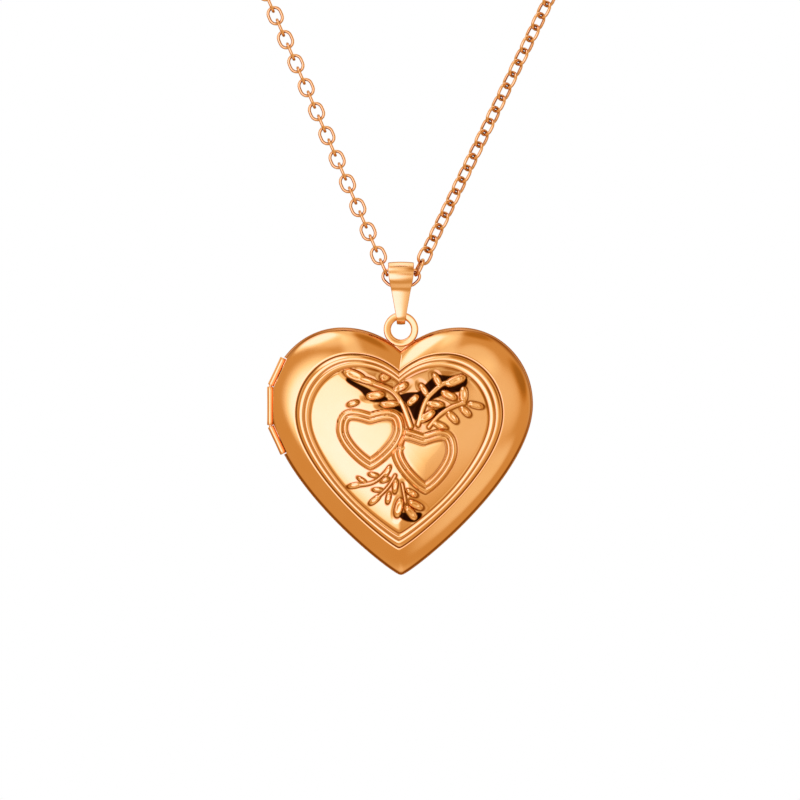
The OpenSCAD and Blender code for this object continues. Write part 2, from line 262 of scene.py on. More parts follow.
BOX_FACES = [(0, 1, 3, 2), (4, 6, 7, 5), (0, 4, 5, 1), (2, 3, 7, 6), (0, 2, 6, 4), (1, 5, 7, 3)]


def box_body(low, high, turn=np.eye(3), shift=(0, 0, 0)):
    corners = np.array([[x, y, z] for x in (low[0], high[0]) for y in (low[1], high[1])
                        for z in (low[2], high[2])], float)
    return corners @ turn.T + np.array(shift, float), BOX_FACES


def sweep(path, section, frames, closed=False):
    """A section (N x 2) carried along a path; frames holds the section's two axes at each stop.
    section may be one outline or one for every stop."""
    b = Builder()
    rings = []
    for k, (p, (u, v)) in enumerate(zip(path, frames)):
        s = section[k] if np.ndim(section) == 3 else section
        rings.append(b.add(p + s[:, :1] * u + s[:, 1:] * v))
    b.skin(rings, closed)
    if not closed:
        for k, flip in ((0, True), (len(rings) - 1, False)):
            b.cap(rings[k], np.mean(b.points[k], axis=0), flip)
    return b.all_points(), b.faces


def circle(radius, count):
    a = np.linspace(0, 2 * math.pi, count, endpoint=False)
    return np.c_[radius * np.cos(a), radius * np.sin(a)]


def merge(bodies):
    points, faces, start = [], [], 0
    for p, f in bodies:
        points.append(np.asarray(p, float))
        faces += [tuple(int(i) + start for i in face) for face in f]
        start += len(p)
    return np.vstack(points), faces


def lathe(profile, count):
    """A closed ring profile (radius, height) turned about Z."""
    b = Builder()
    b.skin([b.add(np.c_[circle(r, count), np.full(count, h)]) for r, h in profile], closed=True)
    return b.all_points(), b.faces


def soften(values, width, edges):
    """Values averaged over a bell-shaped window of odd width; edges are filled as in np.pad."""
    kernel = np.hanning(width)
    padded = np.pad(values, width // 2, mode=edges)
    return np.convolve(padded, kernel / kernel.sum(), mode="valid")


# ---- Materials ----
class Nodes:
    """Short calls that build a node tree."""

    def __init__(self, tree):
        self.tree = tree
        tree.nodes.clear()

    def add(self, kind, inputs=None, **settings):
        node = self.tree.nodes.new(kind)
        for key, value in settings.items():
            setattr(node, key, value)
        for key, value in (inputs or {}).items():
            self.set(node, key, value)
        return node

    def set(self, node, key, value):
        if isinstance(value, bpy.types.NodeSocket):
            self.tree.links.new(value, node.inputs[key])
        else:
            node.inputs[key].default_value = value

    def math(self, operation, a, b=0.0, c=0.0):
        return self.add("ShaderNodeMath", {0: a, 1: b, 2: c}, operation=operation).outputs[0]

    def remap(self, value, a, b, to_a=0.0, to_b=1.0, smooth=False):
        node = self.add("ShaderNodeMapRange",
                        {"Value": value, "From Min": a, "From Max": b,
                         "To Min": to_a, "To Max": to_b},
                        interpolation_type="SMOOTHSTEP" if smooth else "LINEAR")
        return node.outputs["Result"]

    def noise(self, vector, scale, detail=3.0, roughness=0.5):
        return self.add("ShaderNodeTexNoise",
                        {"Vector": vector, "Scale": scale, "Detail": detail,
                         "Roughness": roughness}).outputs["Fac"]

    def mix(self, factor, a, b):
        node = self.add("ShaderNodeMix", data_type="RGBA")
        self.set(node, 0, factor)
        self.set(node, 6, a)
        self.set(node, 7, b)
        return node.outputs[2]


# Colours of painted shade: brown where it is light, near black where it is full
PAINTED_SHADE_BROWN, PAINTED_SHADE_BLACK = (0.42, 0.13, 0.015, 1), (0.020, 0.004, 0.001, 1)


def new_material(name):
    material = bpy.data.materials.new(name)
    material.use_nodes = True
    n = Nodes(material.node_tree)
    return material, n, n.add("ShaderNodeTexCoord").outputs["Object"]


def metal(name, bright, deep, rough, waviness, scratch):
    """Polished plated metal: slight colour drift, worn polish, fine polishing lines,
    and painted shade, brown to near black, where the piece carries its shade attribute."""
    material, n, where = new_material(name)
    drift = n.noise(where, 260.0, 3.0)
    cloud = n.noise(where, 1500.0, 4.0, 0.6)
    stretched = n.add("ShaderNodeMapping", {"Vector": where, "Rotation": (0.3, 0.9, 0.5),
                                            "Scale": (1.0, 14.0, 14.0)}).outputs["Vector"]
    lines = n.noise(stretched, 1600.0, 2.0, 0.5)
    tone = n.mix(n.remap(drift, 0.3, 0.7), bright, deep)
    # Painted shade: the colour turns brown, then near black, as the attribute grows
    painted_shade = n.add("ShaderNodeAttribute", attribute_name="painted_shade").outputs["Fac"]
    tone = n.mix(n.remap(painted_shade, 0.0, 0.5), tone, PAINTED_SHADE_BROWN)
    tone = n.mix(n.remap(painted_shade, 0.5, 1.0), tone, PAINTED_SHADE_BLACK)
    marks = n.add("ShaderNodeBump", {"Strength": scratch, "Distance": 0.000004,
                                     "Height": lines}).outputs["Normal"]
    waves = n.add("ShaderNodeBump", {"Strength": 1.0, "Distance": waviness,
                                     "Height": drift, "Normal": marks}).outputs["Normal"]
    shader = n.add("ShaderNodeBsdfPrincipled",
                   {"Base Color": tone, "Metallic": 1.0,
                    "Roughness": n.remap(cloud, 0.25, 0.75, rough * 0.8, rough * 1.3),
                    "Normal": waves})
    n.add("ShaderNodeOutputMaterial", {"Surface": shader.outputs["BSDF"]})
    return material


def clear_plastic(name):
    material, n, where = new_material(name)
    haze = n.noise(where, 700.0, 3.0)
    hair = n.noise(n.add("ShaderNodeMapping", {"Vector": where, "Scale": (12.0, 1.0, 1.0),
                                               "Rotation": (0.2, 0.7, 0.1)}).outputs["Vector"],
                   900.0, 2.0)
    marks = n.add("ShaderNodeBump", {"Strength": 0.3, "Distance": 0.000004,
                                     "Height": hair}).outputs["Normal"]
    shader = n.add("ShaderNodeBsdfPrincipled",
                   {"Base Color": (0.96, 0.98, 1.0, 1), "IOR": 1.49,
                    "Transmission Weight": 0.92, "Normal": marks,
                    "Roughness": n.remap(haze, 0.3, 0.7, 0.03, 0.12)})
    n.add("ShaderNodeOutputMaterial", {"Surface": shader.outputs["BSDF"]})
    return material


GOLD = metal("polished_rose_gold", (0.98, 0.53, 0.235, 1), (0.96, 0.50, 0.20, 1),
             0.10, 0.0000012, 0.25)
CHAIN_GOLD = metal("chain_rose_gold", (0.97, 0.55, 0.27, 1), (0.94, 0.50, 0.22, 1),
                   0.09, 0.000001, 0.4)
INNER_GOLD = metal("satin_rose_gold", (0.98, 0.55, 0.26, 1), (0.95, 0.50, 0.21, 1),
                   0.26, 0.0000012, 0.8)
BAIL_GOLD = metal("bail_rose_gold", (0.98, 0.56, 0.27, 1), (0.96, 0.53, 0.24, 1),
                  0.19, 0.0000008, 0.25)
STEEL = metal("spring_steel", (0.62, 0.62, 0.63, 1), (0.50, 0.50, 0.52, 1),
              0.22, 0.000001, 0.4)
CLEAR = clear_plastic("clear_window_plastic")


# ---- The locket's two pressed shells ----
BORDER = np.array([
    (0.0, 0.0), (0.66, 0.0), (0.672, -0.01), (0.69, -0.09), (0.703, 0.0), (0.715, 0.07),
    (0.726, 0.03), (0.735, -0.04), (0.746, 0.04), (0.76, 0.08), (0.774, 0.02), (0.787, -0.10),
    (0.797, -0.02), (0.806, 0.0), (1.0, 0.0),
])


def border_height(s):
    """Smooth line through the border's table, so that the polished ridges are round."""
    fine = np.linspace(0.64, 0.83, 400)
    soft = soften(np.interp(fine, BORDER[:, 0], BORDER[:, 1]), 15, "constant")
    return np.interp(s, fine, soft, left=0.0, right=0.0)


def inside(points, outline):
    """True where points lie inside a closed outline."""
    x, z = points[:, 0][:, None], points[:, 1][:, None]
    a, b = outline, np.roll(outline, -1, axis=0)
    crosses = (a[:, 1] > z) != (b[:, 1] > z)
    at = a[:, 0] + (z - a[:, 1]) / (b[:, 1] - a[:, 1] + 1e-12) * (b[:, 0] - a[:, 0])
    return ((crosses & (x < at)).sum(1) % 2) == 1


def line_distance(points, line):
    """Distance from points to a polyline."""
    best = np.full(len(points), 1e9)
    for a, b in zip(line, line[1:]):
        d = b - a
        t = np.clip(((points - a) @ d) / (d @ d), 0, 1)
        best = np.minimum(best, np.linalg.norm(points - (a + t[:, None] * d), axis=1))
    return best


def small_heart(cleft, width_left, width_right, top, widest, tip):
    """Outline of one embossed heart, which may be a little wider on one side."""
    sides = []
    for reach in (width_right, -width_left):
        def at(share, z, middle=cleft):
            return middle[0] + share * reach, z

        half = [
            [cleft, at(0.20, cleft[1] + 0.22), at(0.36, top), at(0.53, top)],
            [at(0.53, top), at(0.84, top), at(1, top - 0.35 * (top - widest)), at(1, widest)],
            [at(1, widest), at(1, widest - 0.42 * (widest - tip[1])),
             at(0.22, tip[1] + 0.12, tip), tip],
        ]
        sides.append(np.vstack([cubic(np.array(seg, float), np.linspace(0, 1, 24)[:-1])
                                for seg in half]))
    right, left = sides
    return np.vstack([right, [tip], left[:0:-1]])


HEART_LEFT = small_heart((-3.34, -0.92), 3.68, 3.72, -0.55, -2.75, (-3.34, -7.15))
HEART_RIGHT = small_heart((2.51, -3.24), 3.48, 3.64, -2.76, -5.1, (2.69, -9.83))

# Sprigs: stems as lines of points, leaves as (x, z, half length, half width, tilt in degrees)
STEMS = [
    [(1.06, -2.41), (0.43, -0.59), (-0.2, 0.67), (-1.07, 1.67), (-2.95, 2.3), (-4.4, 2.85)],
    [(1.88, -2.22), (2.32, -0.59), (2.82, 0.67), (3.7, 1.55), (4.57, 2.3), (5.2, 2.4)],
    [(3.06, -2.47), (3.83, -1.47), (4.96, -0.59), (6.21, -0.02), (6.96, 0.16)],
    [(-1.32, -6.99), (-2.33, -8.12), (-3.34, -8.75), (-5.3, -8.94)],
    [(-0.63, -7.81), (-1.32, -9.0), (-2.33, -10.01), (-3.1, -10.6)],
    [(0.12, -8.75), (0.37, -10.01), (0.49, -10.75)],
]
STEM_HALF = [0.28, 0.25, 0.20, 0.14, 0.14, 0.15]
LEAVES_UP = [
    (-5.15, 3.22, 1.15, 0.52, -22), (-3.9, 2.64, 1.2, 0.36, -15), (-1.76, 3.0, 0.52, 0.42, 20),
    (-0.07, 1.86, 0.82, 0.38, 28), (1.31, 0.48, 0.75, 0.38, 42), (-2.85, 0.98, 0.95, 0.42, 8),
    (-1.26, 0.04, 0.98, 0.36, 4), (5.98, 2.62, 1.12, 0.48, 22), (2.55, 1.55, 0.75, 0.34, -58),
    (4.01, 2.63, 0.82, 0.36, -62), (5.25, 1.02, 0.86, 0.40, -24), (3.76, 0.04, 0.88, 0.36, -6),
    (2.88, -1.28, 0.95, 0.42, 34),
]
LEAVES_SIDE = [
    (6.89, 1.05, 0.85, 0.42, 88), (8.25, -0.09, 0.80, 0.34, -14), (7.09, -0.77, 0.68, 0.36, -42),
    (5.65, -1.4, 0.78, 0.38, -46), (4.27, -2.29, 0.85, 0.34, -24), (-5.28, 0.11, 0.58, 0.28, 18),
]
LEAVES_LOW = [
    (-1.5, -7.35, 0.62, 0.26, 62), (-3.02, -7.75, 0.50, 0.24, -10), (-1.76, -8.31, 0.46, 0.22, 20),
    (-4.3, -8.31, 0.52, 0.22, -32), (-5.1, -8.9, 0.70, 0.26, 10), (-0.63, -9.0, 0.72, 0.28, 82),
    (-2.58, -9.38, 0.50, 0.22, 0), (-1.39, -10.26, 0.58, 0.26, 78), (-2.9, -10.5, 0.68, 0.28, 38),
    (1.18, -9.72, 0.64, 0.30, -28), (-0.25, -11.35, 0.98, 0.44, 76),
    (1.62, -11.05, 0.82, 0.38, -28), (1.1, -11.95, 0.86, 0.42, -52),
]
# How much larger each leaf is pressed than its table says, and how square its ends are
LEAF_GROWTH = 1.07
LEAF_POWER = 2.3


def leaf_ratio(points, leaf):
    """0 in a leaf's middle, 1 on its edge; leaves are long rounded beans."""
    tilt = math.radians(leaf[4])
    c, s = math.cos(tilt), math.sin(tilt)
    u, v = ((points - leaf[:2]) @ [[c, -s], [s, c]] / (LEAF_GROWTH * np.array(leaf[2:4]))).T
    return (np.abs(u) ** LEAF_POWER + np.abs(v) ** LEAF_POWER) ** (1 / LEAF_POWER)


def heart_relief(points, outline):
    """Height and depth inside (mm) of one embossed heart: a round band, a groove, a second
    band and a step down to its smooth middle."""
    closed = np.vstack([outline, outline[:1]])
    depth = line_distance(points, closed) * np.where(inside(points, outline), 1, -1)
    table = np.array([
        (-0.14, 0.0), (0.0, -0.05), (0.13, 0.10), (0.28, 0.19), (0.44, 0.17), (0.55, 0.06),
        (0.62, 0.05), (0.74, 0.17), (0.88, 0.20), (0.99, 0.14), (1.10, -0.02), (1.2, -0.07),
        (1.34, -0.03), (1.6, -0.02), (2.6, -0.01), (4.0, -0.01),
    ])
    return np.interp(depth, table[:, 0], table[:, 1]), depth


def relief(points):
    """Height in millimetres of the emboss, and the painted shade of each point."""
    left, left_depth = heart_relief(points, HEART_LEFT)
    right, right_depth = heart_relief(points, HEART_RIGHT)
    over = smoothstep(-0.16, -0.06, left_depth)
    height = right * (1 - over) + left * over
    hearts = np.maximum(left_depth, right_depth)
    # Of each stem and leaf: its height, the distance from it, and whether it is an upper sprig or
    # a foot of the low sprigs; these set the moat, and the first also sets a painted shade
    parts = []
    for k, (stem, half) in enumerate(zip(STEMS, STEM_HALF)):
        line = resample(smooth_line(np.array(stem, float)), 24, closed=False)
        d = line_distance(points, line)
        parts.append((0.15 * (1 - smoothstep(0.45, 1.25, d / half)), d - half, k < 2, k == 5))
    for leaf in LEAVES_UP + LEAVES_SIDE + LEAVES_LOW:
        r = leaf_ratio(points, leaf)
        edge = 0.12 / leaf[3]
        oval = (0.23 * (1 - smoothstep(1 - 1.5 * edge, 1 + 0.5 * edge, r))
                - 0.05 * (1 - smoothstep(0.1, 0.62, r)))
        away = (r - 1) * 0.5 * (leaf[2] + leaf[3])
        parts.append((oval, away, leaf in LEAVES_UP, leaf in LEAVES_LOW[-3:]))
    sprig = np.maximum(0, np.max([raised for raised, _, _, _ in parts], axis=0))
    near_any = np.min([away for _, away, _, _ in parts], axis=0)
    near_up = np.min([away for _, away, up, _ in parts if up], axis=0)
    near_foot = np.min([away for _, away, _, foot in parts if foot], axis=0)
    clear_of_hearts = 1 - smoothstep(-0.1, 0.05, hearts)
    height = height + sprig * clear_of_hearts
    moat = (1 - smoothstep(0.05, 0.55, np.minimum(near_up, near_foot))) * (sprig < 0.03)
    height = height - 0.05 * moat * clear_of_hearts
    return height, painted_relief_shade(points, near_up, near_any, hearts)


def smooth_line(line):
    """The same stem with its corners rounded."""
    for _ in range(2):
        a, b = line[:-1], line[1:]
        inner = np.empty((2 * len(a), 2))
        inner[0::2], inner[1::2] = a * 0.75 + b * 0.25, a * 0.25 + b * 0.75
        line = np.vstack([line[:1], inner[1:-1], line[-1:]])
    return line


# Outlines of the places between the sprigs that are painted near black, as painted shade and
# painted dark reflection
PAINTED_DARK_AREAS = [
    [(-5.95, 3.0), (-6.1, 2.6), (-5.3, 2.05), (-4.4, 1.55), (-3.9, 0.8), (-3.34, 0.3),
     (-1.5, 0.2), (-1.4, 0.75), (-3.1, 1.4), (-3.7, 1.8), (-4.85, 2.3)],
    [(-0.3, 1.0), (0.84, 1.34), (2.0, 1.3), (2.5, 2.05), (3.34, 2.75), (3.84, 3.4), (5.18, 3.05),
     (6.85, 3.35), (7.4, 2.74), (7.1, 1.9), (6.5, 1.4), (5.18, 1.24), (4.18, 0.9), (3.18, 0.4),
     (2.67, -0.27), (2.05, -1.44), (1.5, -1.9), (1.05, -0.6), (0.6, 0.1)],
    [(-2.5, -0.05), (-2.17, -0.38), (-0.5, -0.6), (0.5, -1.15), (1.3, -2.2), (1.0, -0.94),
     (0.17, -0.1)],
    [(-0.45, -11.9), (-0.05, -12.55), (1.17, -13.0), (2.05, -12.7), (2.4, -11.9), (1.5, -11.9)],
    [(2.2, -1.6), (3.0, -0.9), (3.9, -0.55), (5.0, -0.1), (4.9, -0.75), (3.5, -1.55), (2.6, -2.1)],
]


# Shares of painted shade: round the upper sprigs, over the upper field, at the feet of leaves and
# stems
HALO_SHADE, BROW_SHADE, FOOT_SHADE = 0.2, 0.24, 0.62


def painted_relief_shade(points, near_up, near_any, hearts):
    """Painted shade at each point: near black in the listed dark areas, brown round the upper
    sprigs and over the upper field, at the feet of leaves and stems, and in the grooves.
    """
    deep = np.zeros(len(points))
    # Near black painted over each listed area, standing in for shade and dark reflection
    for corners in PAINTED_DARK_AREAS:
        area = resample(smooth_line(np.array(corners + corners[:1], float)), 60, closed=False)
        depth = line_distance(points, area) * np.where(inside(points, area), 1, -1)
        deep = np.maximum(deep, smoothstep(-0.14, 0.04, depth))
    x, z = points.T
    halo = HALO_SHADE * (1 - smoothstep(0.1, 1.7, near_up)) * smoothstep(-3.5, 0.5, x)
    brow = BROW_SHADE * smoothstep(1.2, 3.6, z) * smoothstep(-6.5, -2.5, x)
    deep = np.maximum(deep, np.maximum(halo, brow))
    foot = FOOT_SHADE * (1 - smoothstep(0.07, 0.26, near_any))
    shade = np.maximum(deep, foot) * smoothstep(-0.06, 0.03, near_any)
    shade *= 1 - smoothstep(-0.15, 0.0, hearts)
    for depth, reach, share in HEART_GROOVES:
        groove = 1 - smoothstep(0.3 * reach, reach, np.abs(hearts - depth))
        shade = np.maximum(shade, share * groove)
    return shade


# Each row: depth inside an embossed heart's edge (mm), reach (mm), share of painted shade
HEART_GROOVES = [(-0.06, 0.13, 0.55), (0.585, 0.09, 0.4), (1.19, 0.14, 0.45)]
# Each row: share of the way to the edge, reach, share of painted shade
BORDER_GROOVES = [(0.689, 0.010, 0.5), (0.736, 0.009, 0.45), (0.788, 0.009, 0.8)]


def border_shade(s):
    """Painted shade in the border's grooves."""
    return max(share * (1 - smoothstep(0.3 * reach, reach, abs(s - at)))
               for at, reach, share in BORDER_GROOVES)


# How far the border sits towards the hinge, in millimetres
BORDER_SHIFT = -0.18
# How fully the border keeps an even width at the tip, and the share of that at the top
BORDER_EVENNESS = 1.25
TOP_EVENNESS = 0.45
# Where the border starts and ends, as shares of the way to the edge
BORDER_INNER, BORDER_OUTER = 0.66, 0.8


def field_shift(s):
    """The border sits a little towards the hinge; the rim and the middle don't."""
    return smoothstep(0.95, 0.8, s) * smoothstep(0.2, 0.6, s)


def edge_slant(points):
    """How much longer the way along a ray is than the way square to the edge."""
    along = np.roll(points, -2, axis=0) - np.roll(points, 2, axis=0)
    square = np.c_[along[:, 1], -along[:, 0]]
    ray = points - HEART_MIDDLE
    cosine = np.abs((square * ray).sum(1)) / (np.linalg.norm(square, axis=1)
                                              * np.linalg.norm(ray, axis=1))
    return soften(1 / np.maximum(cosine, 0.55), len(points) // 12 * 2 + 1, "wrap")


# Share of painted shade on the straight rim, which darkens the heart's outline
EDGE_SHADE = 0.42


def shell(size, y_sign, groups, bordered, inner_count):
    """A hollow domed heart with its rim at y = 0. groups lists (count, sizes s) from the rim
    inwards; returns points, faces and the painted shade of each point."""
    b = Builder()
    painted_shade = []

    @functools.cache
    def outline(count):
        return heart_outline(LOCKET_HALF, count)

    def own_size(count, s):
        """Share of the way from the middle to the edge: the border keeps its width all round."""
        if not bordered or s >= BORDER_OUTER:
            return np.full(count, float(s))
        evenness = BORDER_EVENNESS * (TOP_EVENNESS + (1 - TOP_EVENNESS)
                                      * smoothstep(0, -8, outline(count)[:, 1]))
        spread = 1 + (edge_slant(outline(count)) - 1) * evenness
        moved = BORDER_OUTER - (BORDER_OUTER - max(s, BORDER_INNER)) * spread
        return moved * min(1, s / BORDER_INNER)

    def ring(count, s, y):
        xz = HEART_MIDDLE + (outline(count) - HEART_MIDDLE) * np.reshape(s, (-1, 1)) * size
        xz[:, 0] += BORDER_SHIFT * field_shift(s) * size if bordered else 0
        # The outermost rings get painted shade, darkening the heart's outline
        painted_shade.append(np.broadcast_to(EDGE_SHADE * smoothstep(0.974, 0.992, np.max(s)), count))
        return b.add(np.c_[xz[:, 0], y_sign * np.broadcast_to(y, count), xz[:, 1]])

    chamfer = 0.05
    first = groups[0][0]
    rings = [ring(first, 1 - chamfer / 14, 0), ring(first, 1, chamfer),
             ring(first, 1, RIM_HEIGHT * 0.5), ring(first, 1, RIM_HEIGHT)]
    for count, sizes in groups:
        for s in sizes:
            where = own_size(count, s)
            y = RIM_HEIGHT + DOME_RISE * dome(where)
            shade = 0
            if bordered:
                flat = HEART_MIDDLE + (outline(count) - HEART_MIDDLE) * where[:, None]
                flat[:, 0] += BORDER_SHIFT * field_shift(where)
                # The emboss and the border's grooves bring their painted shade
                lift, shade = relief(flat) if s < 0.68 else (0, border_shade(s))
                y = y + border_height(s) + lift
            rings.append(ring(count, where, y))
            painted_shade[-1] = np.maximum(painted_shade[-1], shade)
    b.skin(rings)
    pole_lift, pole_shade = relief(HEART_MIDDLE[None]) if bordered else ([0], [0])
    b.cap(rings[-1], [0, y_sign * (RIM_HEIGHT + DOME_RISE + pole_lift[0]), HEART_MIDDLE[1]])
    painted_shade.append(np.array([pole_shade[0]]))
    # The inner skin stands the sheet's thickness behind the outer one
    wall, rise = RIM_HEIGHT - SHEET / 2, DOME_RISE - SHEET / 2
    inner = [ring(inner_count, INNER_SIZE, 0), ring(inner_count, INNER_SIZE, wall)]
    inner += [ring(inner_count, s * INNER_SIZE, wall + rise * dome(s))
              for s in (0.985, 0.95, 0.9, 0.83, 0.74, 0.62, 0.48, 0.32, 0.16)]
    b.skin(inner)
    b.cap(inner[-1], [0, y_sign * (wall + rise), HEART_MIDDLE[1]])
    painted_shade.append(np.zeros(1))
    b.skin([rings[0], inner[0]])
    return b.all_points(), b.faces, np.concatenate(painted_shade)


def spaced(a, b, count):
    return np.linspace(a, b, count, endpoint=False)


def near_rim(count):
    """Sizes that crowd towards the rim, where the dome turns quickly."""
    return 1 - 0.19 * np.linspace(0, 1, count + 1)[1:] ** 2


def at_knuckle(which):
    """Turn and shift of a knuckle's own frame."""
    reach = KNUCKLE_LEN / 2 + KNUCKLE_GAP
    if which == "top":
        turn = rot("y", KNUCKLE_LEAN)
        return turn, np.array([HINGE_X, 0, HINGE_TOP_Z]) + turn @ np.array([0, 0, reach])
    if which == "bottom":
        turn = rot("y", -KNUCKLE_LEAN)
        return turn, np.array([HINGE_X, 0, HINGE_BOTTOM_Z]) + turn @ np.array([0, 0, -reach])
    return np.eye(3), np.array([HINGE_X, 0, (HINGE_TOP_Z + HINGE_BOTTOM_Z) / 2])


def hinge_cutters(outer_gap, middle_gap):
    """Boxes that leave room for the knuckles in a shell's edge."""
    cutters = []
    outer_length = KNUCKLE_LEN + 2 * KNUCKLE_GAP
    for which, gap, length in (("top", outer_gap, outer_length),
                               ("bottom", outer_gap, outer_length),
                               ("middle", middle_gap, MIDDLE_LEN + 2.6 * KNUCKLE_GAP)):
        turn, shift = at_knuckle(which)
        reach = KNUCKLE_D / 2 + gap
        cutters.append(box_body((reach - 4, -4, -length / 2), (reach, 4, length / 2),
                                turn, shift + PENDANT))
    return cutters


def round_cutter(radius, y_low, y_high):
    """A drum along Y round the hanging loop."""
    profile = circle(radius, 72) + [0, LOOP_Z]
    b = Builder()
    ends = [b.add(np.insert(profile, 1, y, axis=1)) for y in (y_low, y_high)]
    b.skin(ends)
    b.cap(ends[0], [0, y_low, LOOP_Z], flip=True)
    b.cap(ends[1], [0, y_high, LOOP_Z])
    return b.all_points() + PENDANT, b.faces


# Gaps to what is soldered to a shell, and to what moves past it
SOLDER_GAP, FREE_GAP = 0.01, 0.04
# How far the solder reaches into a knuckle's outline, so that no light comes through
SEAM = 0.03


def add_shell(name, node, body, size, y_sign, groups, bordered, cutters):
    points, faces, painted_shade = shell(size, y_sign, groups, bordered, 160)
    points = points + PENDANT + np.array([0, y_sign * PARTING, 0])
    obj = make_piece(name, (points, faces), GOLD, body, node, sharp=60)
    # Painted shade on the shell's points, read by its metal
    set_painted_shade(obj, painted_shade)
    cut(obj, cutters, 60)


# Each row: count of points round the heart, and the rings' sizes
COVER_GROUPS = [
    (640, near_rim(16)), (640, spaced(0.808, 0.66, 38)), (640, spaced(0.66, 0.42, 38)),
    (400, spaced(0.42, 0.2, 34)), (160, spaced(0.2, 0.02, 26)),
]
BACK_GROUPS = [(320, near_rim(16)), (320, spaced(0.808, 0.4, 22)), (160, spaced(0.4, 0.05, 12))]
LOOP_CUT_R = LOOP_R + LOOP_WIRE / 2
add_shell("locket_cover_embossed", "cover_shell", "locket_cover", COVER_SIZE, -1, COVER_GROUPS,
          True, hinge_cutters(FREE_GAP, -SEAM)
          + [round_cutter(LOOP_CUT_R + FREE_GAP, 0.1 - LOOP_WIRE / 2 - 0.16, 0.1)])
# The tail below the hanging loop: width, thickness, length
TAIL = (1.4, 0.33, 1.6)


def tail_body(gap):
    """The loop's tail, or with a gap the slot that it is soldered in."""
    top = LOOP_Z - LOOP_R
    return box_body((-TAIL[0] / 2 - gap, PARTING - gap, top - TAIL[2]),
                    (TAIL[0] / 2 + gap, PARTING + TAIL[1] + gap, top), shift=PENDANT)


add_shell("locket_back_domed", "back_shell", "locket_back", 1, 1, BACK_GROUPS,
          False, hinge_cutters(-SEAM, FREE_GAP)
          + [round_cutter(LOOP_CUT_R + SOLDER_GAP, LOOP_WIRE / 2 + 0.02 - LOOP_WIRE,
                          LOOP_WIRE / 2 + 0.02), tail_body(SOLDER_GAP)])


# ---- Heart-shaped rims inside the halves ----
def heart_rings(b, profile, count):
    """Heart-shaped rings of the locket's outline at each (size, y)."""
    outline = heart_outline(LOCKET_HALF, count)
    return [b.add(np.insert(HEART_MIDDLE + (outline - HEART_MIDDLE) * s, 1, y, axis=1))
            for s, y in profile]


def heart_loft(profile, count):
    """A solid band from a closed profile of (size, y) points."""
    b = Builder()
    b.skin(heart_rings(b, profile, count), closed=True)
    return b.all_points() + PENDANT, b.faces


def heart_plate(size, y_low, y_high, bevel, count):
    """A thin heart-shaped plate with eased edges."""
    b = Builder()
    slim = size - bevel / 14
    rings = heart_rings(b, ((0.5, y_low), (slim, y_low), (size, y_low + bevel),
                            (size, y_high - bevel), (slim, y_high), (0.5, y_high)), count)
    b.skin(rings)
    b.cap(rings[0], [0, y_low, HEART_MIDDLE[1]], flip=True)
    b.cap(rings[-1], [0, y_high, HEART_MIDDLE[1]])
    return b.all_points() + PENDANT, b.faces


def frame_profile(turn):
    """Section of a photo frame: flat towards the parting, rolled inner lip."""
    flat = [(0.94, 0.37), (0.94, 0.50), (0.937, 0.52), (0.867, 0.52), (0.862, 0.50),
            (0.860, 0.46), (0.861, 0.40), (0.865, 0.375), (0.872, 0.37), (0.884, 0.385),
            (0.90, 0.39), (0.93, 0.385)]
    return [(s, turn * y) for s, y in flat]


for side, body, turn in (("cover", "locket_cover", -1), ("back", "locket_back", 1)):
    make_piece(f"rim_for_picture_{side}", heart_loft(frame_profile(turn), 320), INNER_GOLD,
               body, f"photo_frame_{side}")
    plate = heart_plate(0.925, *sorted((turn * 0.53, turn * 0.63)), 0.02, 200)
    make_piece(f"clear_sheet_{side}", plate, CLEAR, body, f"photo_window_{side}")

lip_profile = [(0.942, -0.33), (0.944, -0.35), (0.953, -0.35), (0.957, -0.32), (0.957, 0.0),
               (0.957, 0.02), (0.969, 0.02), (0.971, 0.03), (0.971, 0.22), (0.970, 0.23),
               (0.943, 0.23), (0.942, 0.22)]
lip = make_piece("snap_lip", heart_loft(lip_profile, 320), INNER_GOLD, "locket_back",
                 "catch_lip")
# The lip leaves the hinge's side and the hanging loop free
cut(lip, [box_body((-40, -2, -40), (-5, 2, 40), shift=PENDANT),
          box_body((-5.1, -2, 4), (2.1, 2, 40), shift=PENDANT)])


# ---- Hinge ----
def knuckle(length, which):
    """A rolled tube with eased ends and a faint waist."""
    bore, outer, half, ease = PIN_BORE / 2, KNUCKLE_D / 2, length / 2, 0.06
    outside = [(outer - ease, -half), (outer - 0.02, -half + 0.02), (outer, -half + ease)]
    outside += [(outer - 0.012 * math.sin(math.pi * t), -half + ease + (length - 2 * ease) * t)
                for t in np.linspace(0.1, 0.9, 9)]
    outside += [(outer, half - ease), (outer - 0.02, half - 0.02), (outer - ease, half)]
    profile = outside + [(bore + 0.02, half), (bore, half - 0.02), (bore, -half + 0.02),
                         (bore + 0.02, -half)]
    turn, shift = at_knuckle(which)
    points, faces = lathe(profile, 48)
    return points @ turn.T + shift + PENDANT, faces


for which, length, body in (("top", KNUCKLE_LEN, "locket_back"),
                            ("middle", MIDDLE_LEN, "locket_cover"),
                            ("bottom", KNUCKLE_LEN, "locket_back")):
    make_piece(f"hinge_tube_{which}", knuckle(length, which), GOLD, body,
               f"hinge_knuckle_{which}", sharp=40)


